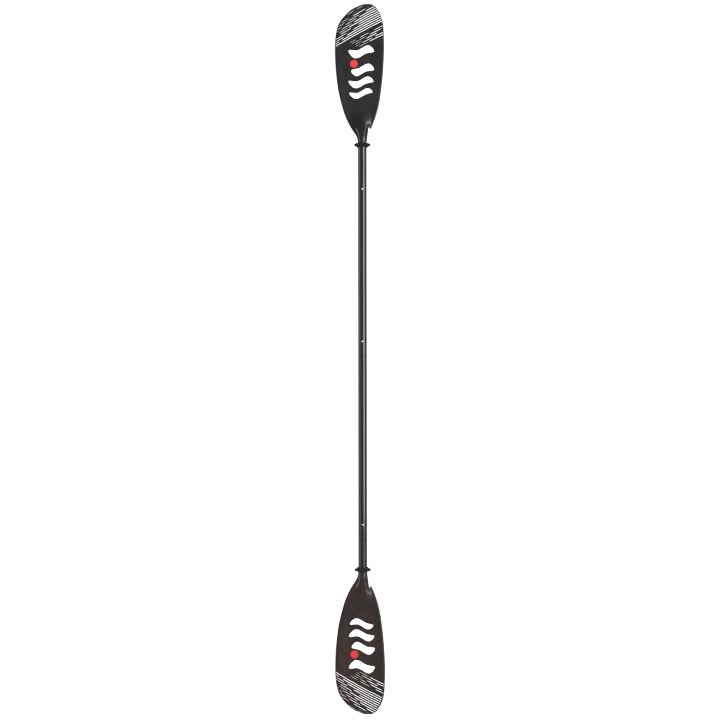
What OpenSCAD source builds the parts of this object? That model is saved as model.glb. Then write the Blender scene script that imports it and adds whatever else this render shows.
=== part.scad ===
// Four-piece touring kayak paddle, lying on its back with the power faces up.
// The shaft runs along Y, the upper blade is towards +Y and X points to the notched edges of the blades.
// The origin is on the shaft's axis, halfway between the two tips. Sizes are in millimetres.

/* [Paddle] */
// Length from tip to tip
paddle_l = 2300; // [2200:10:2400]
// How far each blade joint is from the middle of the shaft
blade_joint_y = 592; // [570:1:600]

/* [Shaft tubes] */
// Outer diameter of the shaft
tube_d = 28; // [27:0.1:29]
// Wall of the shaft tubes
tube_wall = 1.25; // [1.1:0.05:1.3]
// Bevel on the outer edge of each tube end
tube_bevel = 0.5; // [0.3:0.1:0.7]
// Gap left between two tubes that meet end to end
seam_gap = 0.3; // [0.2:0.1:0.5]

/* [Ferrules] */
// Wall of the inner sleeves
ferrule_wall = 1.2; // [1:0.1:1.3]
// Length of sleeve that slides into the next tube
ferrule_out = 95; // [85:1:100]
// Length of sleeve bonded into its own tube
ferrule_in = 50; // [45:1:50]
// Radial clearance between a sleeve and the tube round it
slide_fit = 0.05; // [0.03:0.01:0.08]

/* [Snap buttons] */
// Diameter of the button's head
button_d = 6.4; // [6:0.1:6.6]
// How far the button stands out of the shaft
button_proud = 2; // [1.5:0.1:2.2]
// Distance from a seam to the button that locks it
button_to_seam = 48; // [45:1:55]
// Diameter of the holes that the button comes through
button_hole_d = 6.9; // [6.8:0.1:7.2]
// Turn between the feather positions at the middle joint
feather_step = 60; // [45:5:60]
// Thickness of the leaf spring
leaf_t = 0.6; // [0.5:0.1:0.7]
// Width of the leaf spring
leaf_w = 7; // [6:0.5:8]

/* [Drip rings] */
// Diameter of the drip ring's lip
ring_d = 54; // [50:1:56]
// Length of the drip ring along the shaft
ring_l = 15; // [13:0.5:18]
// Thickness of the rubber skirt
ring_skirt = 1.6; // [1.4:0.1:2]

/* [Blades] */
// Diameter of the blade's round neck
neck_d = 29.2; // [28.8:0.1:29.6]
// Thickness of the blade's panel
blade_t = 3.4; // [3:0.1:4]
// How far the blade dips behind the shaft's axis
blade_dip = 7; // [5:0.5:8]
// How far the tip curves up from the lowest point of the blade
tip_rise = 21; // [15:1:22]
// How far the long edges curve up beside the middle
edge_rise = 4; // [2:0.5:7]

/* [Hidden] */

tube_r = tube_d / 2;
bore_r = tube_r - tube_wall;
ferrule_r = bore_r - slide_fit;
ferrule_bore_r = ferrule_r - ferrule_wall;
neck_r = neck_d / 2;
tip_y = paddle_l / 2;

// Place of the blade's neck: the stub tube ends here and the drip ring sits on it
neck_y = 682;
neck_l = 23;
// Stepped spigot: its root fills the stub tube and its nose goes into the ferrule
spigot_nose_l = 44;
spigot_fit = 0.05;

// The button's parts, measured from the underside of its head outwards
button_r = button_d / 2;
flange_r = 4.2;
flange_t = 0.8;
flange_top = sqrt(pow(ferrule_bore_r, 2) - pow(flange_r, 2)) - 0.15;
stem_r = 1.5;
tail_r = 2.3;
tail_t = 0.6;
leaf_play = 0.15;

// The leaf spring's bend and its two legs, measured along the shaft from the button
leaf_bend_r = 3.6;
leaf_bend_at = 36;
leaf_bend_z = -0.6;
leaf_top = flange_top - flange_t - leaf_play - leaf_t / 2;
leaf_foot = -sqrt(pow(ferrule_bore_r, 2) - pow(leaf_w / 2, 2)) + leaf_t / 2 + 0.15;

// Half the straight length of the spring's top, where it lies under the button, and of its foot
leaf_flat = 5;
leaf_toe = 4;

// The head's dome, and the small bevel on a ferrule's ends
dome_r = 4;
ferrule_bevel = 0.6;

// The drip ring's rounded lip and where the skirt joins its hub, measured from the ring's base
ring_lip_r = 0.8;
ring_lip_y = 9.2;
ring_web_y = 3.2;

plug_l = 22;
plug_gap = 5;

button_y = blade_joint_y - button_to_seam;
// Where the bonded end of a blade's ferrule stops inside the stub tube
ferrule_end_y = blade_joint_y + ferrule_in;

// ---- the blade's shape ----

// Edges of the blade from the tip to the neck, as [distance from the tip, distance from the axis].
// The short edge is on the left and the long one, with the notch at its shoulder, is on the right.
left_edge = [
    [0.4, 12], [2, -1], [6, -11.5], [14.5, -30.5], [24.5, -44.5], [36.5, -57], [49.5, -68], [64, -77],
    [84, -83.5], [108, -87.5], [138, -89], [173, -88.5], [209, -86.5], [244, -83], [279, -78],
    [309, -71.5], [334, -65], [357, -58], [379, -49], [397, -40], [411, -31.5], [421, -24.5],
    [431, -19], [439, -16.1], [447, -14.6]
];
right_edge = [
    [0.4, 25], [2.5, 33], [8, 42.5], [18, 50], [29, 57.5], [41, 63], [54, 66.5], [67, 69],
    [85, 70.5], [108, 71.5], [138, 72], [173, 71], [209, 69], [244, 66], [279, 62],
    [309, 58], [334, 53], [357, 47], [379, 39.5], [396, 32.8], [407.5, 27], [409.5, 21.3],
    [417, 18.8], [430, 16.8], [447, 14.6]
];
// Rows of points between one pair of edge points and the next
rows_per_gap = 2;
// Angles round the neck that set how far across the blade each point of a section lies
section_angles = [0, 11, 22, 33, 44, 55, 65, 74, 82, 90];
// The tip's line of symmetry, and how many edge points it takes to come back to the shaft's axis
apex_x = 18;
apex_points = 7;
// Where the neck's round form starts, how long it takes to melt into the face and how wide it gets
neck_s = 447;
melt_l = 115;
melt_spread = 32;
// The rib on the back: where it runs out and its half width there
rib_end_s = 105;
rib_end_w = 12;
// Where the blade dips lowest behind the shaft
dip_s = 230;
// Half the height of the flat left at the two sides of the neck's first sections
side_flat = 0.3;
// How far from the neck the panel and the raised edges reach their full size
panel_grow_l = 45;
edge_grow_l = 110;
// Half width of the blade at which the edges rise by edge_rise
edge_rise_x = 85;
// The moulded notch in the right shoulder: the centre of its round bottom, and how long its sides are
notch_s = 405;
notch_x = 22.4;
notch_r = 3.4;
notch_l = 10;

function mix(a, b, t) = a + (b - a) * t;
function ease(t) = let (c = min(max(t, 0), 1)) c * c * (3 - 2 * c);

// A smooth curve through the points p, at t counted in points
function spline(p, t) =
    let (
        i = min(floor(t), len(p) - 2),
        f = t - i,
        a = p[max(i - 1, 0)],
        b = p[i],
        c = p[i + 1],
        d = p[min(i + 2, len(p) - 1)]
    )
    b + (c - a) * f / 2 + (2 * a - 5 * b + 4 * c - d) * f * f / 2
      + (3 * b - a - 3 * c + d) * f * f * f / 2;

// Height of the blade's middle surface over the shaft's axis, s from the tip and x from the axis
function spine_z(s) =
    s < dip_s ? tip_rise * pow((dip_s - s) / dip_s, 2) - blade_dip
              : -blade_dip * (1 - ease((s - dip_s) / (neck_s - dip_s)));
function middle_z(x, s) =
    spine_z(s) + edge_rise * pow(x / edge_rise_x, 2) * ease((neck_s - s) / edge_grow_l);

// A rounded hump of height h and half width w: an arch at sharp = 0.5, a soft swelling at 2
function hump(x, h, w, sharp) = h * pow(max(1 - pow(x / w, 2), 0), sharp);

// The neck's round form as it melts into the power face
function melt(s) = ease((neck_s - s) / melt_l);
function face_hump(x, s) =
    hump(x, neck_r * (1 - melt(s)), neck_r + melt_spread * melt(s), mix(0.5, 2, melt(s)));

// The rib that carries on from the neck down the back
function back_rib(x, s) =
    let (run = ease((neck_s - s) / (neck_s - rib_end_s)))
    hump(x, neck_r * (1 - run), mix(neck_r, rib_end_w, run) + 5 * sin(180 * run), mix(0.5, 1.5, run));

// Half the panel's thickness: thinner at its rim, and growing out of the neck
function half_t(u, s) =
    max(side_flat, blade_t / 2 * ease((neck_s - s) / panel_grow_l) * mix(0.45, 1, ease((1 - abs(u)) * 12)));

// The point a share u across row t, from -1 on the left edge to 1 on the right, on the face or the back
function blade_point(t, u, face) =
    let (
        l = spline(left_edge, t),
        r = spline(right_edge, t),
        cx = apex_x * (1 - ease(t / apex_points)),
        cs = mix(l[0], r[0], (cx - l[1]) / (r[1] - l[1])),
        x = u < 0 ? mix(cx, l[1], -u) : mix(cx, r[1], u),
        s = u < 0 ? mix(cs, l[0], -u) : mix(cs, r[0], u),
        // the rows start a little inside the neck, so the last ones draw in
        x_in = t > len(left_edge) - 1.2 ? x * 0.97 : x
    )
    [
        x_in,
        tip_y - s,
        middle_z(x, s) + (face ? max(half_t(u, s), half_t(u, s) * melt(s) + face_hump(x, s))
                               : -max(half_t(u, s), half_t(u, s) * melt(s) + back_rib(x, s)))
    ];

// Shares across a section, from the left edge to the right
section_shares = [
    for (a = section_angles) -cos(a),
    for (i = [len(section_angles) - 2 : -1 : 0]) cos(section_angles[i])
];
function section(t) = [
    for (u = section_shares) blade_point(t, u, true),
    for (i = [len(section_shares) - 1 : -1 : 0]) blade_point(t, section_shares[i], false)
];

// A skin through rings of points that all have the same count, closed at both ends
module skin(rings) {
    n = len(rings[0]);
    m = len(rings);
    sides = [
        for (j = [0 : m - 2])
            for (i = [0 : n - 1])
                let (k = (i + 1) % n)
                each [
                    [j * n + i, j * n + k, (j + 1) * n + k],
                    [j * n + i, (j + 1) * n + k, (j + 1) * n + i]
                ]
    ];
    first = [for (i = [n - 1 : -1 : 0]) i];
    last = [for (i = [0 : n - 1]) (m - 1) * n + i];
    polyhedron(points = [for (r = rings) each r], faces = concat([first], sides, [last]), convexity = 6);
}

// ---- shared pieces ----

// Stands its children's Z axis along the shaft, with their base at y
module along_shaft(y) {
    translate([0, y, 0])
        rotate([-90, 0, 0])
            children();
}

module lower() {
    mirror([0, 1, 0])
        children();
}

// A tube from y0 to y1 with bevelled outer edges
module shaft_tube(y0, y1, outer_r, inner_r, bevel) {
    l = y1 - y0;
    along_shaft(y0)
        rotate_extrude($fn = 96)
            polygon([
                [inner_r, 0], [outer_r - bevel, 0], [outer_r, bevel],
                [outer_r, l - bevel], [outer_r - bevel, l], [inner_r, l]
            ]);
}

// The hole for a snap button at y, turned about the shaft by the given angle
module button_hole(y, turn) {
    rotate([0, turn, 0])
        translate([0, y, 0])
            cylinder(r = button_hole_d / 2, h = tube_d, $fn = 48);
}

// A snap button at y: domed head, flange under the sleeve's wall, and a stem staked through the spring
module snap_button(y) {
    head_top = tube_r + button_proud;
    translate([0, y, 0]) {
        intersection() {
            translate([0, 0, flange_top - 0.1])
                cylinder(r = button_r, h = head_top - flange_top + 0.1, $fn = 48);
            translate([0, 0, head_top - dome_r])
                sphere(r = dome_r, $fn = 64);
        }
        translate([0, 0, flange_top - flange_t])
            cylinder(r = flange_r, h = flange_t, $fn = 48);
        translate([0, 0, leaf_top - leaf_t / 2 - leaf_play - tail_t])
            cylinder(r = stem_r, h = leaf_t + 2 * leaf_play + tail_t + 0.1, $fn = 32);
        translate([0, 0, leaf_top - leaf_t / 2 - leaf_play - tail_t])
            cylinder(r = tail_r, h = tail_t, $fn = 32);
    }
}

// A straight length of leaf spring seen from its edge, from point a to point b
module leaf_run(a, b) {
    d = b - a;
    translate(a) {
        circle(d = leaf_t, $fn = 24);
        rotate(atan2(d[1], d[0]))
            translate([0, -leaf_t / 2])
                square([norm(d), leaf_t]);
    }
    translate(b)
        circle(d = leaf_t, $fn = 24);
}

// The V-shaped spring under the button at y, opening towards the middle of the shaft
module button_spring(y) {
    translate([0, y, 0])
        difference() {
            rotate([90, 0, 90])
                translate([0, 0, -leaf_w / 2])
                    linear_extrude(height = leaf_w) {
                        leaf_run([-leaf_flat, leaf_top], [leaf_flat, leaf_top]);
                        leaf_run([leaf_flat, leaf_top], [leaf_bend_at, leaf_bend_z + leaf_bend_r]);
                        leaf_run([-leaf_toe, leaf_foot], [leaf_bend_at, leaf_bend_z - leaf_bend_r]);
                        translate([leaf_bend_at, leaf_bend_z])
                            difference() {
                                circle(r = leaf_bend_r + leaf_t / 2, $fn = 48);
                                circle(r = leaf_bend_r - leaf_t / 2, $fn = 48);
                                translate([-10, -10])
                                    square([10, 20]);
                            }
                    }
            translate([0, 0, leaf_top - 1])
                cylinder(r = stem_r + leaf_play, h = 2, $fn = 32);
        }
}

module foam_plug(y) {
    along_shaft(y)
        cylinder(r = ferrule_r, h = plug_l, $fn = 64);
}

// ---- the blade section, drawn as the upper one ----

module blade() {
    rows = (len(left_edge) - 1) * rows_per_gap;
    difference() {
        union() {
            skin([for (j = [0 : rows]) section(j / rows_per_gap)]);
            along_shaft(neck_y)
                cylinder(r = neck_r, h = neck_l, $fn = 96);
            along_shaft(ferrule_end_y + slide_fit)
                cylinder(r = ferrule_r, h = neck_y - ferrule_end_y, $fn = 96);
            along_shaft(ferrule_end_y - spigot_nose_l)
                cylinder(r = ferrule_bore_r - spigot_fit, h = spigot_nose_l + 1, $fn = 96);
        }
        translate([notch_x, tip_y - notch_s, -20]) {
            cylinder(r = notch_r, h = 40, $fn = 32);
            translate([-notch_r, -notch_l, 0])
                cube([2 * notch_r, notch_l, 40]);
        }
    }
}

module stub_tube() {
    shaft_tube(blade_joint_y + seam_gap / 2, neck_y - 0.1, tube_r, bore_r, tube_bevel);
}

module blade_ferrule() {
    difference() {
        shaft_tube(blade_joint_y - ferrule_out, ferrule_end_y - 0.1,
                   ferrule_r, ferrule_bore_r, ferrule_bevel);
        button_hole(button_y, 0);
    }
}

// Skirt that flares towards the blade, on a short hub that grips the neck
module drip_ring() {
    lip_at = [ring_d / 2 - ring_lip_r, ring_lip_y];
    hub_r = neck_r + slide_fit;
    along_shaft(neck_y + 0.3)
        rotate_extrude($fn = 96) {
            polygon([
                [hub_r, 0], [hub_r + 0.5, 0],
                lip_at + [0.4, -0.65], lip_at + [-0.45, 0.65],
                [hub_r + ring_skirt, ring_web_y], [hub_r + 1.2, ring_l], [hub_r, ring_l]
            ]);
            translate(lip_at)
                circle(r = ring_lip_r, $fn = 24);
        }
}

// ---- one module per sub-part ----

module upper_blade() { color("#2c2d30") blade(); }
module lower_blade() { color("#2c2d30") lower() blade(); }

module upper_stub_tube() { color("#141416") stub_tube(); }
module lower_stub_tube() { color("#141416") lower() stub_tube(); }

module upper_ferrule() { color("#3a3b3f") blade_ferrule(); }
module lower_ferrule() { color("#3a3b3f") lower() blade_ferrule(); }

module upper_main_tube() {
    color("#17171a")
        difference() {
            shaft_tube(seam_gap / 2, blade_joint_y - seam_gap / 2, tube_r, bore_r, tube_bevel);
            button_hole(button_y, 0);
            for (turn = [-feather_step, 0, feather_step])
                button_hole(button_to_seam, turn);
        }
}

module lower_main_tube() {
    color("#17171a")
        lower()
            difference() {
                shaft_tube(seam_gap / 2, blade_joint_y - seam_gap / 2, tube_r, bore_r, tube_bevel);
                button_hole(button_y, 0);
            }
}

module centre_ferrule() {
    color("#3a3b3f")
        difference() {
            shaft_tube(-ferrule_in, ferrule_out, ferrule_r, ferrule_bore_r, ferrule_bevel);
            button_hole(button_to_seam, 0);
        }
}

module upper_snap_button() { color("#e8eaed") snap_button(button_y); }
module centre_snap_button() { color("#e8eaed") snap_button(button_to_seam); }
module lower_snap_button() { color("#e8eaed") lower() snap_button(button_y); }

module upper_button_spring() { color("#b9bcc2") button_spring(button_y); }
module centre_button_spring() { color("#b9bcc2") lower() button_spring(-button_to_seam); }
module lower_button_spring() { color("#b9bcc2") lower() button_spring(button_y); }

module upper_drip_ring() { color("#1b1b1c") drip_ring(); }
module lower_drip_ring() { color("#1b1b1c") lower() drip_ring(); }

module upper_outer_plug() { color("#6f7178") foam_plug(blade_joint_y - ferrule_out - plug_gap - plug_l); }
module upper_inner_plug() { color("#6f7178") foam_plug(ferrule_out + plug_gap); }
module lower_outer_plug() {
    color("#6f7178") lower() foam_plug(blade_joint_y - ferrule_out - plug_gap - plug_l);
}
module lower_inner_plug() { color("#6f7178") lower() foam_plug(ferrule_in + plug_gap); }

upper_blade();
lower_blade();
upper_stub_tube();
lower_stub_tube();
upper_ferrule();
lower_ferrule();
upper_main_tube();
lower_main_tube();
centre_ferrule();
upper_snap_button();
centre_snap_button();
lower_snap_button();
upper_button_spring();
centre_button_spring();
lower_button_spring();
upper_drip_ring();
lower_drip_ring();
upper_outer_plug();
upper_inner_plug();
lower_outer_plug();
lower_inner_plug();
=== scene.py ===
"""Looks of the four-piece kayak paddle, on its back with the power faces up, seen from above.

Metres, in the CAD frame: the shaft runs along Y, Z comes out of the power faces and X points to the
notched long edges of the blades.
"""

import math
import random

import bpy
from mathutils import Matrix, Vector
from mathutils.bvhtree import BVHTree


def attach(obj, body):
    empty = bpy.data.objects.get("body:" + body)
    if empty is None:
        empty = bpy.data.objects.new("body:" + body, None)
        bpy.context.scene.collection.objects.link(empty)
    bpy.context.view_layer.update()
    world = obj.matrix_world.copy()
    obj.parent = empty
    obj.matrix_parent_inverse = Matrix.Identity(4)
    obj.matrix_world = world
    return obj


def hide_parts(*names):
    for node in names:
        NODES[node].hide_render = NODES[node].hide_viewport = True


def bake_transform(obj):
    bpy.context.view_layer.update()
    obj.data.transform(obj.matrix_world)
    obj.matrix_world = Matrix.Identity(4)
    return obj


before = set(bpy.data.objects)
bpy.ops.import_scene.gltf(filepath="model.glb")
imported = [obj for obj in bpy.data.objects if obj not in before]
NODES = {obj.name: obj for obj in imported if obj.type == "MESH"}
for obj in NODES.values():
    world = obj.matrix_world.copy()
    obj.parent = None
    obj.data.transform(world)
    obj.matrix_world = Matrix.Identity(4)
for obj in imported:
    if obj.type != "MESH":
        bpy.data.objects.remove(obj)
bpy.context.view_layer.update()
MM = 0.001
TIP_Y = 1150.0
# Z of the table's top, in millimetres: low enough for a feathered blade to hang clear of it
TABLE_Z = -110
SIDES = (("upper", 1), ("lower", -1))

# ---------------------------------------------------------------- the blade's shape, in millimetres
# Edges from the tip to the neck as (distance from the tip, distance from the axis), as in the CAD.
LEFT_EDGE = [
    (0.4, 12), (2, -1), (6, -11.5), (14.5, -30.5), (24.5, -44.5), (36.5, -57), (49.5, -68), (64, -77),
    (84, -83.5), (108, -87.5), (138, -89), (173, -88.5), (209, -86.5), (244, -83), (279, -78),
    (309, -71.5), (334, -65), (357, -58), (379, -49), (397, -40), (411, -31.5), (421, -24.5),
    (431, -19), (439, -16.1), (447, -14.6),
]
RIGHT_EDGE = [
    (0.4, 25), (2.5, 33), (8, 42.5), (18, 50), (29, 57.5), (41, 63), (54, 66.5), (67, 69),
    (85, 70.5), (108, 71.5), (138, 72), (173, 71), (209, 69), (244, 66), (279, 62),
    (309, 58), (334, 53), (357, 47), (379, 39.5), (396, 32.8), (407.5, 27), (409.5, 21.3),
    (417, 18.8), (430, 16.8), (447, 14.6),
]
NECK_R = 14.6
NECK_S = 447.0
MELT_L, MELT_SPREAD = 115.0, 32.0
RIB_END_S, RIB_END_W = 105.0, 12.0
RIB_SWELL = 5.0
DIP_S, TIP_RISE, BLADE_DIP, EDGE_RISE = 230.0, 21.0, 7.0, 4.0
EDGE_RISE_X, EDGE_GROW_L = 85.0, 110.0
BLADE_T, PANEL_GROW_L = 3.4, 45.0
# The panel thins to EDGE_THIN of its thickness over the outermost twelfth of its half width
EDGE_THIN, EDGE_THIN_RUN = 0.45, 12.0
RIM_R, TIP_RIM_R, BEAD_RIM_R = 1.1, 1.6, 2.5
TIP_S = 0.4
APEX_X, APEX_POINTS = 18.0, 7
NOTCH_X, NOTCH_DEEP, NOTCH_W = 22.0, 8.0, 3.2
NOTCH_START_S, NOTCH_GROW_L, NOTCH_END_S, NOTCH_FADE_L = 386.0, 20.0, 414.0, 15.0
NOTCH_MIN_X = 8.0


def mix(a, b, t):
    return a + (b - a) * t


def ease(t):
    c = min(max(t, 0.0), 1.0)
    return c * c * (3 - 2 * c)


def spline(p, t):
    i = min(int(math.floor(t)), len(p) - 2)
    f = t - i
    a, b, c, d = p[max(i - 1, 0)], p[i], p[i + 1], p[min(i + 2, len(p) - 1)]
    return tuple(
        b[k] + (c[k] - a[k]) * f / 2 + (2 * a[k] - 5 * b[k] + 4 * c[k] - d[k]) * f * f / 2
        + (3 * b[k] - a[k] - 3 * c[k] + d[k]) * f ** 3 / 2
        for k in (0, 1)
    )


def middle_z(x, s):
    spine = (
        TIP_RISE * ((DIP_S - s) / DIP_S) ** 2 - BLADE_DIP
        if s < DIP_S
        else -BLADE_DIP * (1 - ease((s - DIP_S) / (NECK_S - DIP_S)))
    )
    return spine + EDGE_RISE * (x / EDGE_RISE_X) ** 2 * ease((NECK_S - s) / EDGE_GROW_L)


def hump(x, h, w, sharp):
    return h * max(1 - (x / w) ** 2, 0.0) ** sharp


def melt(s):
    return ease((NECK_S - s) / MELT_L)


def face_hump(x, s):
    m = melt(s)
    return hump(x, NECK_R * (1 - m), NECK_R + MELT_SPREAD * m, mix(0.5, 2, m))


def back_rib(x, s):
    run = ease((NECK_S - s) / (NECK_S - RIB_END_S))
    width = mix(NECK_R, RIB_END_W, run) + RIB_SWELL * math.sin(math.pi * run)
    return hump(x, NECK_R * (1 - run), width, mix(0.5, 1.5, run))


def near_line(x, s, line):
    """Distance of (x, s) from a broken line."""
    best = 1e9
    for (ax, as_), (bx, bs) in zip(line, line[1:]):
        dx, ds = bx - ax, bs - as_
        t = min(max(((x - ax) * dx + (s - as_) * ds) / (dx * dx + ds * ds), 0.0), 1.0)
        best = min(best, math.hypot(x - ax - t * dx, s - as_ - t * ds))
    return best


# The raised bead that runs off the right of the neck and round the notch, as (x, distance from the tip)
BEAD = [(4.6, 441), (6.0, 424), (11.0, 406), (14.6, 399.4), (18.5, 395.8), (24, 394.2), (29, 396.5)]
BEAD_H, BEAD_W = 1.6, 2.7
# The bead is looked for in this range only, and fades out at its ends
BEAD_S, BEAD_X = (382, 445), (0, 36)
BEAD_TOP_S, BEAD_TOP_L, BEAD_OUT_X, BEAD_OUT_L = 440, 14, 31.5, 4


def bead(x, s):
    if not (BEAD_S[0] < s < BEAD_S[1] and BEAD_X[0] < x < BEAD_X[1]):
        return 0.0
    d = near_line(x, s, BEAD)
    fade = ease((BEAD_TOP_S - s) / BEAD_TOP_L) * ease((BEAD_OUT_X - x) / BEAD_OUT_L)
    return BEAD_H * math.exp(-((d / BEAD_W) ** 2)) * fade


def notch_shift(x, s):
    """How far the notch draws a point near the right shoulder towards the tip."""
    if s < NOTCH_START_S or x < NOTCH_MIN_X:
        return 0.0
    depth = ease((s - NOTCH_START_S) / NOTCH_GROW_L) * (1 - ease((s - NOTCH_END_S) / NOTCH_FADE_L))
    return NOTCH_DEEP * math.exp(-(((x - NOTCH_X) / NOTCH_W) ** 4)) * depth


def rim_round(d, r):
    """Height share of a rounded edge, d inside it."""
    return 1.0 if d >= r else math.sqrt(max(1 - (1 - max(d, 0.0) / r) ** 2, 0.0))


def blade_point(t, u, face):
    """The point a share u across row t, on the face (1) or the back (-1), as (x, s, z)."""
    l, r = spline(LEFT_EDGE, t), spline(RIGHT_EDGE, t)
    cx = APEX_X * (1 - ease(t / APEX_POINTS))
    cs = mix(l[0], r[0], (cx - l[1]) / (r[1] - l[1]))
    end = l if u < 0 else r
    x, s = mix(cx, end[1], abs(u)), mix(cs, end[0], abs(u))
    inside = (1 - abs(u)) * abs(end[1] - cx)
    grow = ease((NECK_S - s) / PANEL_GROW_L)
    half = BLADE_T / 2 * grow * mix(EDGE_THIN, 1, ease((1 - abs(u)) * EDGE_THIN_RUN))
    half *= mix(1, rim_round(inside, RIM_R) * rim_round(s - TIP_S, TIP_RIM_R), grow ** 0.5)
    m = melt(s)
    if face > 0:
        up = max(half, half * m + face_hump(x, s))
        up += bead(x, s) * rim_round(inside, BEAD_RIM_R)
        z = middle_z(x, s) + up
    else:
        z = middle_z(x, s) - max(half, half * m + back_rib(x, s))
    return x, s - notch_shift(x, s), z


# ---------------------------------------------------------------- mesh helpers
def new_object(name, points, faces, side=1, slots=(), face_slots=None):
    """A smooth mesh object from points in millimetres; side -1 mirrors it to the lower end."""
    mesh = bpy.data.meshes.new(name)
    pts = [(p[0] * MM, side * p[1] * MM, p[2] * MM) for p in points]
    mesh.from_pydata(pts, [], [tuple(reversed(f)) for f in faces] if side < 0 else faces)
    for m in slots:
        mesh.materials.append(m)
    if face_slots:
        mesh.polygons.foreach_set("material_index", face_slots)
    mesh.polygons.foreach_set("use_smooth", [True] * len(mesh.polygons))
    mesh.validate()
    mesh.update()
    obj = bpy.data.objects.new(name, mesh)
    bpy.context.scene.collection.objects.link(obj)
    return obj


def skin(rings, close_last=True):
    """Faces of a skin through rings that all have the same count of points."""
    n = len(rings[0])
    pts = [p for ring in rings for p in ring]
    faces = [
        (j * n + i, j * n + (i + 1) % n, (j + 1) * n + (i + 1) % n, (j + 1) * n + i)
        for j in range(len(rings) - 1)
        for i in range(n)
    ]
    faces.append(tuple(range(n - 1, -1, -1)))
    if close_last:
        faces.append(tuple((len(rings) - 1) * n + i for i in range(n)))
    return pts, faces


def soften(obj, angle):
    """Keeps edges sharper than the angle crisp and shades the rest smoothly."""
    bpy.context.view_layer.objects.active = obj
    obj.select_set(True)
    bpy.ops.object.shade_smooth_by_angle(angle=math.radians(angle))
    obj.select_set(False)


# Shares of the half width at which a row has points, close together at the edges
HALF_STEPS = 30
SHARES = [-math.cos(math.radians(90 * k / HALF_STEPS)) for k in range(HALF_STEPS + 1)]
SHARES += [math.cos(math.radians(90 * k / HALF_STEPS)) for k in range(HALF_STEPS - 1, -1, -1)]


# The edges' last point, and the step between rows up to each row number
LAST_ROW = 24.0
ROW_STEPS = ((0.4, 0.04), (3, 0.12), (17.5, 0.2), (22.5, 0.09), (LAST_ROW, 0.16))
# The round neck, its end face and the stepped spigot in the tubes: (distance from the tip, radius)
NECK_RINGS = (
    (450, 14.6), (456, 14.6), (462, 14.6), (467.1, 14.6), (467.6, 14.5), (467.9, 14.3), (468, 14.0),
    (468, 12.75), (468.2, 12.7), (480, 12.7), (507.6, 12.7), (507.95, 12.4), (507.96, 11.45),
    (530, 11.45), (551, 11.45), (551.8, 11.1), (552, 10.5),
)


def blade_rows():
    """Row numbers from the tip to the neck, close together at the tip and round the notch."""
    rows, t = [], 0.0
    while t < LAST_ROW:
        rows.append(t)
        t += next(step for end, step in ROW_STEPS if t < end)
    return rows + [LAST_ROW]


def blade_points():
    rings = []
    for t in blade_rows():
        top = [blade_point(t, u, 1) for u in SHARES]
        back = [blade_point(t, u, -1) for u in reversed(SHARES)][1:-1]
        rings.append([(x, TIP_Y - s, z) for x, s, z in top + back])
    for s, r in NECK_RINGS:
        arch = [(r * u, TIP_Y - s, r * math.sqrt(max(1 - u * u, 0.0))) for u in SHARES]
        rings.append(arch + [(x, y, -z) for x, y, z in reversed(arch)][1:-1])
    return skin(rings)


BLADE_POINTS, BLADE_FACES = blade_points()


# ---------------------------------------------------------------- the print on the power face
# Each line of the hatch: dashes as (from x, to x, width), in millimetres. Lines 1 and up are the main
# band, towards the tip; the negative lines are the lighter band on the other side of a gap.
FULL = 1.7
HATCH = {
    12: [(-48, -24, 0.6), (-18, 4, 0.6)],
    10: [(-68, -45, 0.7), (-28, 9, 1.3)],
    9: [(-75, -56, 0.7), (-43, -8, 1.0), (13, 60, FULL)],
    8: [(-79, -67, 0.6), (-55, -20, 0.9), (-9, 70, FULL)],
    7: [(-86, -76, 0.6), (-67, -34, 0.8), (-25, 70, FULL)],
    6: [(-74, -50, 0.7), (-42, 70, FULL)],
    5: [(-70, -36, 1.1), (-11, 70, FULL)],
    4: [(-88, -50, 1.0), (-30, 70, FULL)],
    3: [(-88, -61, 1.1), (-49, 70, FULL)],
    2: [(-90, -76, 1.2), (-65, 70, FULL)],
    1: [(-90, 70, FULL)],
    -1: [(-40, -21, 0.6), (-8, 22, 0.9), (40, 70, 1.3)],
    -2: [(-32, -10, 0.5), (-7, 10, 0.8), (24, 61, 1.5)],
    -3: [(-24, -1, 0.5), (14, 47, 1.5)],
    -4: [(-20, -9, 0.5), (-1, 31, 1.1), (43, 72, 1.5)],
    -5: [(-9, 18, 0.7), (24, 72, 1.5)],
}
HATCH_PITCH = 7.1
HATCH_SLOPE = 0.515
HATCH_BOW = 4.0
HATCH_BASE = 80.5
HATCH_GAP = 1.2
HATCH_HALF_X = 78
# A dash: about how long its cells are, how far its ends lean and how ragged they are. Its width at the
# ends, as a share, and how much wider than given it is drawn
DASH_CELL, DASH_LEAN, DASH_RAGGED = 1.6, 1.6, 1.2
DASH_END, DASH_WIDEN = 0.35, 1.13
# The generic mark: stacked waves, as (distance from the tip, half thickness, from x, to x, phase)
WAVES = [
    (146, 12.5, -45, 39, 0.5), (205, 12.0, -36, 39, 0.5), (246, 11.0, -45, 37, 0.5),
    (283, 9.5, -42, 34, 0.5),
]
WAVE_L, WAVE_H, WAVE_CELLS, WAVE_FULL = 84.0, 8.5, 56, 1.25
# The disc beside the waves: x, distance from the tip, radius; and its rings and spokes
DISC = (-27, 185, 12.5)
DISC_RINGS, DISC_SPOKES = 8, 48
# How far the ink stands off the face, how far inside the outline it stays, and where rays start
LIFT = 0.05
INK_INSET = 0.7
RAY_Z = 60
# How far the whole print is moved from the tip
PRINT_SHIFT = {"upper": 4.7, "lower": 0.0}


def hatch_s(line, x):
    base = HATCH_BASE if line > 0 else HATCH_BASE + HATCH_GAP
    bow = HATCH_BOW * (x / HATCH_HALF_X) ** 2
    return base - HATCH_PITCH * (line - 1) - HATCH_SLOPE * x + bow


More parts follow.
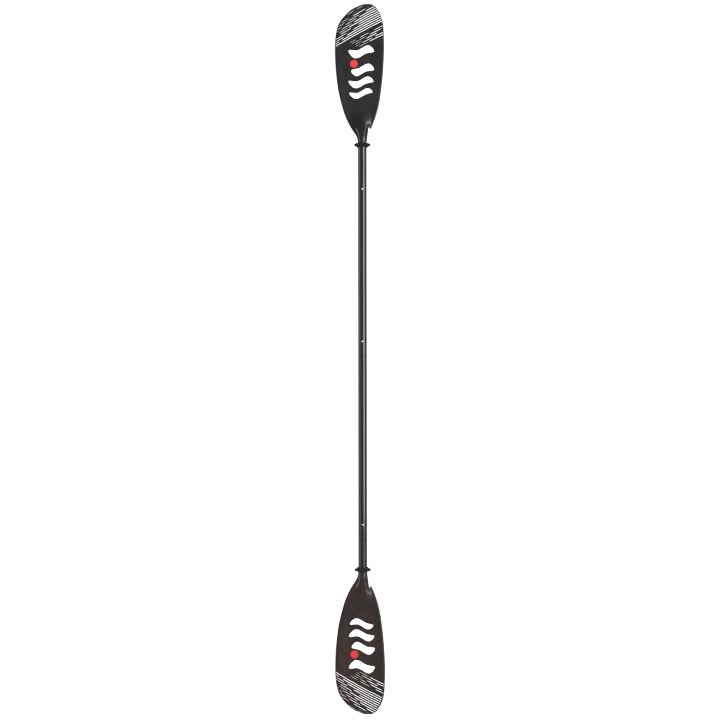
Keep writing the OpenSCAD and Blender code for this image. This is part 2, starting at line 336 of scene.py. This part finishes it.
def edge_inset(x, s, outline, clear):
    """True if (x, s) lies inside the blade's outline by the given clearance."""
    inside = False
    for (ax, as_), (bx, bs) in zip(outline, outline[1:] + outline[:1]):
        if (as_ > s) != (bs > s) and x < (bx - ax) * (s - as_) / (bs - as_) + ax:
            inside = not inside
    return inside and near_line(x, s, outline) > clear


def edge_points(edge, count):
    """Points (x, distance from the tip) along an edge, four to each of its spans."""
    return [(spline(edge, t / 4)[1], spline(edge, t / 4)[0]) for t in range(count)]


OUTLINE = edge_points(LEFT_EDGE, 84)[::-1] + edge_points(RIGHT_EDGE, 80)


class Print:
    """Flat islands of ink that follow the blade's face, LIFT above it."""

    def __init__(self, shift):
        self.tree = BVHTree.FromPolygons([Vector(p) for p in BLADE_POINTS], BLADE_FACES[:-2])
        self.shift, self.points, self.faces, self.inks = shift, [], [], []

    def height(self, x, s):
        hit = self.tree.ray_cast(Vector((x, TIP_Y - s, RAY_Z)), Vector((0, 0, -1)))[0]
        return hit.z + LIFT if hit else None

    def grid(self, rows, ink):
        """rows of (x, s), all the same length; cells with a corner off the face are left out."""
        index = []
        for row in rows:
            line = []
            for x, s in row:
                z = self.height(x, s + self.shift)
                if z is None or not edge_inset(x, s + self.shift, OUTLINE, INK_INSET):
                    line.append(None)
                    continue
                line.append(len(self.points))
                self.points.append((x, TIP_Y - s - self.shift, z))
            index.append(line)
        for a, b in zip(index, index[1:]):
            for i in range(len(a) - 1):
                corners = (a[i], a[i + 1], b[i + 1], b[i])
                if None not in corners:
                    self.faces.append(corners)
                    self.inks.append(ink)

    def dash(self, line, x0, x1, width, rng):
        """One slanted dash with slightly ragged, slanted ends."""
        n = max(4, int((x1 - x0) / DASH_CELL))
        x0 += rng.uniform(-DASH_RAGGED, DASH_RAGGED)
        x1 += rng.uniform(-DASH_RAGGED, DASH_RAGGED)
        rows = []
        for k in (-1, 0, 1):
            row = []
            for i in range(n + 1):
                x = mix(x0, x1, i / n) - k * DASH_LEAN
                taper = min(1.0, DASH_END + (1 - DASH_END) * min(i, n - i) / 2)
                row.append((x, hatch_s(line, x) + k * width / 2 * DASH_WIDEN * taper))
            rows.append(row)
        self.grid(rows, 0)

    def wave(self, s0, half, x0, x1, along):
        rows = []
        for k in range(-3, 4):
            row = []
            for i in range(WAVE_CELLS + 1):
                f = i / WAVE_CELLS
                x = mix(x0, x1, f)
                body = half * min(1.0, math.sqrt(max(math.sin(math.pi * f), 0.0)) * WAVE_FULL)
                crest = WAVE_H * math.sin(2 * math.pi * (x / WAVE_L + along))
                row.append((x, s0 + crest + k / 3 * body))
            rows.append(row)
        self.grid(rows, 0)

    def disc(self, x, s, r):
        spokes = [2 * math.pi * i / DISC_SPOKES for i in range(DISC_SPOKES + 1)]
        radii = [r * k / DISC_RINGS for k in range(DISC_RINGS + 1)]
        self.grid([[(x + q * math.cos(a), s + q * math.sin(a)) for a in spokes] for q in radii], 1)


# ---------------------------------------------------------------- material helpers
class Look:
    """A node material. The object's own coordinates are the frame's, in metres."""

    def __init__(self, name):
        self.material = bpy.data.materials.new(name)
        self.material.use_nodes = True
        self.tree = self.material.node_tree
        self.tree.nodes.clear()
        self.out = self.add("ShaderNodeOutputMaterial")
        self.shader = self.add("ShaderNodeBsdfPrincipled")
        self.tree.links.new(self.shader.outputs[0], self.out.inputs[0])
        self.place = self.add("ShaderNodeTexCoord").outputs["Object"]

    def add(self, kind, ins=None, **props):
        n = self.tree.nodes.new(kind)
        for k, v in props.items():
            setattr(n, k, v)
        for k, v in (ins or {}).items():
            if isinstance(v, bpy.types.NodeSocket):
                self.tree.links.new(v, n.inputs[k])
            else:
                n.inputs[k].default_value = v
        return n

    def stretched(self, scale):
        return self.add("ShaderNodeMapping", {"Vector": self.place, "Scale": scale}).outputs[0]

    def noise(self, scale, detail=3.0, rough=0.55, vector=None, distortion=0.0):
        return self.add(
            "ShaderNodeTexNoise",
            {
                "Vector": vector or self.place,
                "Scale": scale,
                "Detail": detail,
                "Roughness": rough,
                "Distortion": distortion,
            },
        ).outputs["Fac"]

    def cells(self, scale):
        ins = {"Vector": self.place, "Scale": scale}
        return self.add("ShaderNodeTexVoronoi", ins, feature="F1").outputs["Distance"]

    def ramp(self, value, low, high, out_low=0.0, out_high=1.0):
        return self.add(
            "ShaderNodeMapRange",
            {"Value": value, "From Min": low, "From Max": high, "To Min": out_low, "To Max": out_high},
            interpolation_type="SMOOTHSTEP",
            clamp=True,
        ).outputs[0]

    def math(self, operation, a, b=0.0):
        return self.add("ShaderNodeMath", {0: a, 1: b}, operation=operation).outputs[0]

    def blend(self, factor, a, b):
        n = self.add("ShaderNodeMix", data_type="RGBA")
        for k, v in ((0, factor), (6, a), (7, b)):
            if isinstance(v, bpy.types.NodeSocket):
                self.tree.links.new(v, n.inputs[k])
            else:
                n.inputs[k].default_value = v
        return n.outputs[2]

    def bump(self, height, strength, distance, under=None):
        ins = {"Height": height, "Strength": strength, "Distance": distance}
        if under is not None:
            ins["Normal"] = under
        return self.add("ShaderNodeBump", ins).outputs[0]

    def finish(self, colour, roughness, normal, **fixed):
        for name, v in (("Base Color", colour), ("Roughness", roughness), ("Normal", normal)):
            if isinstance(v, bpy.types.NodeSocket):
                self.tree.links.new(v, self.shader.inputs[name])
            else:
                self.shader.inputs[name].default_value = v
        for name, v in fixed.items():
            self.shader.inputs[name.replace("_", " ")].default_value = v
        return self.material

    def scratches(self, direction, scale, keep):
        """Thin long scratches, 1 on a scratch: direction stretches them, keep says how many there are."""
        v = self.stretched(direction)
        lines = self.noise(scale, 2.0, 0.5, v, 0.3)
        thin = self.math("ABSOLUTE", self.math("SUBTRACT", lines, 0.5))
        patches = self.ramp(self.noise(9.0, 2.0), 0.62 - keep, 0.72 - keep)
        return self.math("MULTIPLY", self.ramp(thin, 0.0, 0.006, 1.0, 0.0), patches)


def rgb(r, g, b):
    return (r, g, b, 1.0)


def from_tip(look):
    """Distance from the nearer tip, in metres, as a socket."""
    parts = look.add("ShaderNodeSeparateXYZ", {0: look.place})
    return look.math("SUBTRACT", TIP_Y * MM, look.math("ABSOLUTE", parts.outputs[1]))


def blade_plastic():
    k = Look("blade_plastic")
    cloud = k.ramp(k.noise(11.0, 4.0, 0.6), 0.3, 0.7)
    fleck = k.noise(620.0, 2.0, 0.6)
    # in the photograph the lower blade's tone is warmer than the upper one's
    far = k.ramp(k.add("ShaderNodeSeparateXYZ", {0: k.place}).outputs[1], -0.75, 0.75)
    cool = k.blend(cloud, rgb(0.0050, 0.0048, 0.0047), rgb(0.0105, 0.0090, 0.0085))
    warm = k.blend(cloud, rgb(0.0085, 0.0073, 0.0066), rgb(0.0290, 0.0140, 0.0118))
    colour = k.blend(far, warm, cool)
    colour = k.blend(k.ramp(fleck, 0.60, 0.74, 0.0, 0.35), colour, rgb(0.050, 0.048, 0.047))
    scuff = k.math(
        "MULTIPLY", k.ramp(from_tip(k), 0.004, 0.05, 1.0, 0.0), k.ramp(k.noise(95.0, 5.0, 0.7), 0.50, 0.66)
    )
    fine = k.scratches((40.0, 7.0, 40.0), 9.0, 0.10)
    cross = k.scratches((6.0, 34.0, 34.0), 8.0, 0.02)
    marks = k.math("MAXIMUM", k.math("MULTIPLY", k.math("MAXIMUM", fine, cross), 0.45), scuff)
    colour = k.blend(k.math("MULTIPLY", marks, 0.45), colour, rgb(0.085, 0.082, 0.080))
    # the face is moulded satin and the neck comes out of the mould glossy
    satin = k.ramp(k.noise(23.0, 4.0), 0.3, 0.7, 0.24, 0.34)
    rough = k.math("MULTIPLY", satin, k.ramp(from_tip(k), 0.375, 0.402, 1.0, 0.50))
    rough = k.math("ADD", rough, k.math("MULTIPLY", marks, 0.18))
    calm = k.ramp(from_tip(k), 0.375, 0.408, 1.0, 0.25)
    grain = k.bump(k.math("MULTIPLY", k.noise(950.0, 3.0, 0.6), calm), 0.16, 0.00012)
    grain = k.bump(k.math("MULTIPLY", k.noise(60.0, 2.0, 0.5), calm), 0.10, 0.0010, grain)
    grain = k.bump(k.math("MULTIPLY", marks, -1.0), 0.20, 0.00015, grain)
    return k.finish(colour, rough, grain, IOR=1.50, Specular_IOR_Level=0.5)


def ink(name, tone, worn):
    k = Look(name)
    film = k.noise(160.0, 4.0, 0.65)
    base = k.blend(film, tone, rgb(*[0.88 * c for c in tone[:3]]))
    pits = k.ramp(k.noise(420.0, 3.0, 0.7), 0.66, 0.72)
    cuts = k.scratches((30.0, 6.0, 30.0), 8.0, 0.14)
    lost = k.math("MAXIMUM", k.math("MULTIPLY", pits, 0.5), k.math("MULTIPLY", cuts, 0.8))
    colour = k.blend(k.math("MULTIPLY", lost, worn), base, rgb(0.05, 0.05, 0.05))
    rough = k.ramp(k.noise(35.0, 3.0), 0.3, 0.7, 0.40, 0.56)
    skin_bump = k.bump(k.noise(700.0, 3.0, 0.6), 0.12, 0.00010)
    skin_bump = k.bump(k.math("MULTIPLY", lost, -1.0), 0.25, 0.00008, skin_bump)
    return k.finish(colour, rough, skin_bump, IOR=1.48)


def gloss_shaft():
    k = Look("gloss_shaft")
    v = k.stretched((60.0, 2.2, 60.0))
    streak = k.noise(6.0, 4.0, 0.6, v)
    colour = k.blend(streak, rgb(0.0050, 0.0050, 0.0056), rgb(0.0105, 0.0100, 0.0105))
    rub = k.scratches((90.0, 2.0, 90.0), 6.0, 0.12)
    nick = k.ramp(k.noise(210.0, 2.0, 0.6), 0.73, 0.76)
    marks = k.math("MAXIMUM", k.math("MULTIPLY", rub, 0.35), nick)
    colour = k.blend(k.math("MULTIPLY", marks, 0.4), colour, rgb(0.10, 0.10, 0.10))
    rough = k.math("ADD", k.ramp(k.noise(30.0, 4.0), 0.3, 0.7, 0.13, 0.24), k.math("MULTIPLY", marks, 0.25))
    peel = k.bump(k.noise(260.0, 2.0, 0.4), 0.05, 0.0004)
    peel = k.bump(streak, 0.05, 0.0003, peel)
    peel = k.bump(k.math("MULTIPLY", marks, -1.0), 0.20, 0.00006, peel)
    return k.finish(colour, rough, peel, IOR=1.50, Coat_Weight=0.25, Coat_Roughness=0.10)


def drawn_metal(name, tone, stretch, rough_low, rough_high, wear=0.5):
    k = Look(name)
    v = k.stretched(stretch)
    line = k.noise(9.0, 5.0, 0.65, v)
    base = k.blend(line, tone, rgb(*[0.72 * c for c in tone[:3]]))
    smear = k.ramp(k.noise(55.0, 4.0, 0.6), 0.50, 0.72)
    colour = k.blend(k.math("MULTIPLY", smear, wear * 0.35), base, rgb(0.30, 0.30, 0.31))
    rough = k.math("ADD", k.ramp(line, 0.3, 0.7, rough_low, rough_high), k.math("MULTIPLY", smear, 0.12))
    groove = k.bump(line, 0.18, 0.00008)
    groove = k.bump(k.noise(500.0, 2.0), 0.08, 0.00006, groove)
    return k.finish(colour, rough, groove, Metallic=1.0)


def rubber():
    k = Look("ring_rubber")
    dust = k.ramp(k.noise(75.0, 5.0, 0.7), 0.48, 0.72)
    colour = k.blend(k.noise(40.0, 3.0), rgb(0.0040, 0.0040, 0.0043), rgb(0.0085, 0.0083, 0.0080))
    colour = k.blend(k.math("MULTIPLY", dust, 0.18), colour, rgb(0.055, 0.052, 0.048))
    rough = k.ramp(k.noise(120.0, 3.0), 0.3, 0.7, 0.50, 0.72)
    skin_bump = k.bump(k.noise(1100.0, 3.0, 0.6), 0.22, 0.00010)
    skin_bump = k.bump(k.noise(180.0, 2.0), 0.12, 0.0003, skin_bump)
    return k.finish(colour, rough, skin_bump, IOR=1.52, Specular_IOR_Level=0.3)


def foam():
    k = Look("cell_foam")
    cell = k.cells(820.0)
    big = k.cells(240.0)
    # the cells' pits are painted darker than their rims: painted shade in the pits
    colour = k.blend(k.ramp(cell, 0.0, 0.6), rgb(0.085, 0.088, 0.095), rgb(0.20, 0.205, 0.215))
    colour = k.blend(k.ramp(k.noise(45.0, 4.0), 0.45, 0.75, 0.0, 0.4), colour, rgb(0.13, 0.125, 0.12))
    height = k.math("ADD", cell, k.math("MULTIPLY", big, 0.7))
    return k.finish(colour, k.ramp(cell, 0.0, 0.6, 0.95, 0.8), k.bump(height, 0.8, 0.0006), IOR=1.35)


PLASTIC = blade_plastic()
WHITE = ink("print_white", rgb(0.93, 0.93, 0.92), 0.8)
RED = ink("print_red", rgb(0.56, 0.022, 0.022), 0.8)
SHAFT = gloss_shaft()
RUBBER = rubber()
FOAM = foam()
ALUMINIUM = drawn_metal("anodised_aluminium", rgb(0.045, 0.046, 0.05), (120.0, 4.0, 120.0), 0.24, 0.40)
BUTTON = drawn_metal("button_steel", rgb(0.76, 0.76, 0.78), (160.0, 160.0, 40.0), 0.16, 0.28, 0.2)
SPRING = drawn_metal("spring_steel", rgb(0.66, 0.66, 0.68), (90.0, 6.0, 90.0), 0.24, 0.40)

for name, obj in NODES.items():
    if "tube" in name:
        look, slot = SHAFT, "shaft"
    elif "ferrule" in name:
        look, slot = ALUMINIUM, "ferrule"
    elif name.endswith("snap_button"):
        look, slot = BUTTON, "button"
    elif "plug" in name:
        look, slot = FOAM, "foam"
    else:
        continue
    obj.data.materials.clear()
    obj.data.materials.append(look)

# ---------------------------------------------------------------- leaf springs, copied from the CAD in spring steel
SPRING_BODIES = {
    "upper": "upper_blade_section",
    "centre": "lower_shaft",
    "lower": "lower_blade_section",
}
for name, body in SPRING_BODIES.items():
    cad = NODES[name + "_button_spring"]
    leaf = bpy.data.objects.new(name + "_spring_leaf", cad.data.copy())
    bpy.context.scene.collection.objects.link(leaf)
    leaf.matrix_world = cad.matrix_world
    leaf.data.materials.clear()
    leaf.data.materials.append(SPRING)
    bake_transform(leaf)
    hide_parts(cad.name)

# ---------------------------------------------------------------- blades with their print
for side_name, side in SIDES:
    mark = Print(PRINT_SHIFT[side_name])
    rng = random.Random(7 if side > 0 else 11)
    for line, dashes in HATCH.items():
        for x0, x1, width in dashes:
            mark.dash(line, x0, x1, width, rng)
    for wave in WAVES:
        mark.wave(*wave)
    mark.disc(*DISC)
    n = len(BLADE_POINTS)
    points = BLADE_POINTS + mark.points
    faces = BLADE_FACES + [tuple(n + i for i in f) for f in mark.faces]
    slots = [0] * len(BLADE_FACES) + [1 + k for k in mark.inks]
    blade = new_object(side_name + "_blade_skin", points, faces, side, (PLASTIC, WHITE, RED), slots)
    soften(blade, 40)
    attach(blade, side_name + "_blade_section")
    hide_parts(side_name + "_blade")

# ---------------------------------------------------------------- drip rings
RING_Y = 682.3
RING_TURNS = 144
LIP_AT, LIP_R = (26.15, 9.2), 0.8
# Rubber never sits quite true: the skirt waves by a tenth of a millimetre
SKIRT_WAVE, SKIRT_WAVE_PHASE, SKIRT_IN, SKIRT_W = 0.10, 0.7, 17, 9


def ring_profile():
    """(radius, distance along the shaft from the ring's base), round the rubber section, outside first."""
    outside = [
        (14.75, 0.0), (15.15, 0.0), (15.55, 0.2), (16.3, 0.85), (17.7, 2.05), (19.4, 3.5), (21.3, 5.05),
        (23.2, 6.5), (25.2, 7.9), (26.25, 8.45),
    ]
    turn = [math.radians(d) for d in range(-50, 151, 20)]
    lip = [(LIP_AT[0] + LIP_R * math.cos(a), LIP_AT[1] + LIP_R * math.sin(a)) for a in turn]
    under = [(24.9, 9.4), (22.9, 8.4), (20.8, 7.05), (18.8, 5.65), (17.3, 4.65), (16.5, 4.3), (16.2, 4.7)]
    hub = [
        (16.1, 5.6), (15.88, 6.1), (16.1, 6.6), (16.02, 8.4), (15.78, 8.9), (15.98, 9.4), (15.9, 12.2),
        (15.8, 14.3), (15.5, 14.9), (15.1, 15.0), (14.75, 14.9), (14.65, 14.6),
    ]
    bore = [(14.65, 10.0), (14.65, 5.0), (14.65, 0.4)]
    return outside + lip + under + hub + bore


def ring_mesh():
    profile = ring_profile()
    n = len(profile)
    pts, faces = [], []
    for k in range(RING_TURNS):
        a = 2 * math.pi * k / RING_TURNS
        for r, y in profile:
            wave = SKIRT_WAVE * math.sin(3 * a + SKIRT_WAVE_PHASE) * max(0.0, (r - SKIRT_IN) / SKIRT_W)
            pts.append((r * math.cos(a), RING_Y + y + wave, r * math.sin(a)))
    for k in range(RING_TURNS):
        for i in range(n):
            a, b = k * n + i, k * n + (i + 1) % n
            c, d = ((k + 1) % RING_TURNS) * n + (i + 1) % n, ((k + 1) % RING_TURNS) * n + i
            faces.append((a, d, c, b))
    return pts, faces


for side_name, side in SIDES:
    ring = new_object(side_name + "_ring_rubber", *ring_mesh(), side, (RUBBER,))
    soften(ring, 50)
    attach(ring, side_name + "_ring")
    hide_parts(side_name + "_drip_ring")

# ---------------------------------------------------------------- floor, light and camera
# The table as (radius, height above the table), in millimetres: flat, then sweeping up all round
SWEEP = [
    (20, 0), (3000, 0), (6000, 0), (7500, 90), (8400, 480), (8900, 1200), (9100, 2300), (9150, 7500),
]
SWEEP_TURNS = 96
# Each lamp: name, where it is, where it looks, its size across and along the shaft, and its watts
LAMPS = (
    ("key", (1.486, 0.76, 1.622), (0.0, 0.76, 0.0), 1.28, 3.4, 96.0),
    ("low", (1.486, -1.75, 1.622), (0.0, -1.75, 0.0), 1.28, 1.1, 20.0),
    ("side", (-2.3, 0.0, 0.55), (0.0, 0.0, 0.1), 1.1, 3.0, 20.0),
)
# The photograph's view: nearly straight down, with a slight tilt and roll
CAMERA_AT = (-0.0082, -0.064, 2.7)
CAMERA_LENS = 41.5
CAMERA_TILT, CAMERA_ROLL = 1.104, -0.061


def floor_look():
    k = Look("studio_floor")
    tone = k.blend(k.noise(1.5, 2.0), rgb(0.21, 0.21, 0.21), rgb(0.23, 0.23, 0.23))
    rough = k.ramp(k.noise(3.0, 2.0), 0.3, 0.7, 0.80, 0.90)
    # a translucent table, lit from below
    glow = {"Emission_Color": rgb(1, 1, 1), "Emission_Strength": 0.88}
    look = k.finish(tone, rough, k.bump(k.noise(30.0, 2.0), 0.02, 0.001), IOR=1.3, **glow)
    look.cycles.emission_sampling = "NONE"
    return look


def studio():
    angles = [2 * math.pi * i / SWEEP_TURNS for i in range(SWEEP_TURNS)]
    rings = [[(r * math.cos(a), r * math.sin(a), z + TABLE_Z) for a in angles] for r, z in SWEEP]
    pts, faces = skin(rings, close_last=False)
    faces = [tuple(reversed(f)) for f in faces]
    floor = new_object("studio_floor", pts, faces, 1, (floor_look(),))
    # the lit table isn't mirrored in the gloss
    floor.visible_glossy = False
    world = bpy.data.worlds.new("studio_world")
    world.use_nodes = True
    back = world.node_tree.nodes["Background"]
    back.inputs["Color"].default_value = (0.93, 0.95, 1.0, 1.0)
    back.inputs["Strength"].default_value = 0.35
    bpy.context.scene.world = world
    for name, place, aim, size_x, size_y, power in LAMPS:
        data = bpy.data.lights.new(name, "AREA")
        data.shape = "RECTANGLE"
        data.size, data.size_y, data.energy = size_x, size_y, power
        lamp = bpy.data.objects.new(name, data)
        bpy.context.scene.collection.objects.link(lamp)
        lamp.location = place
        # the lamp's long side stays along the shaft
        away = (Vector(place) - Vector(aim)).normalized()
        across = Vector((0, 1, 0)).cross(away).normalized()
        turn = Matrix((across, away.cross(across), away)).transposed()
        lamp.rotation_mode = "QUATERNION"
        lamp.rotation_quaternion = turn.to_quaternion()


def camera():
    data = bpy.data.cameras.new("photo_camera")
    data.sensor_width, data.sensor_fit, data.lens = 36.0, "HORIZONTAL", CAMERA_LENS
    data.clip_start, data.clip_end = 0.05, 50.0
    data.dof.use_dof = False
    cam = bpy.data.objects.new("photo_camera", data)
    bpy.context.scene.collection.objects.link(cam)
    cam.location = CAMERA_AT
    cam.rotation_mode = "XYZ"
    cam.rotation_euler = (math.radians(CAMERA_TILT), 0.0, math.radians(CAMERA_ROLL))
    bpy.context.scene.camera = cam


studio()
camera()
bpy.context.scene.view_settings.view_transform = "Standard"
# a tight pixel filter keeps the fine hatch crisp, as the photograph does
bpy.context.scene.cycles.filter_width = 1.25
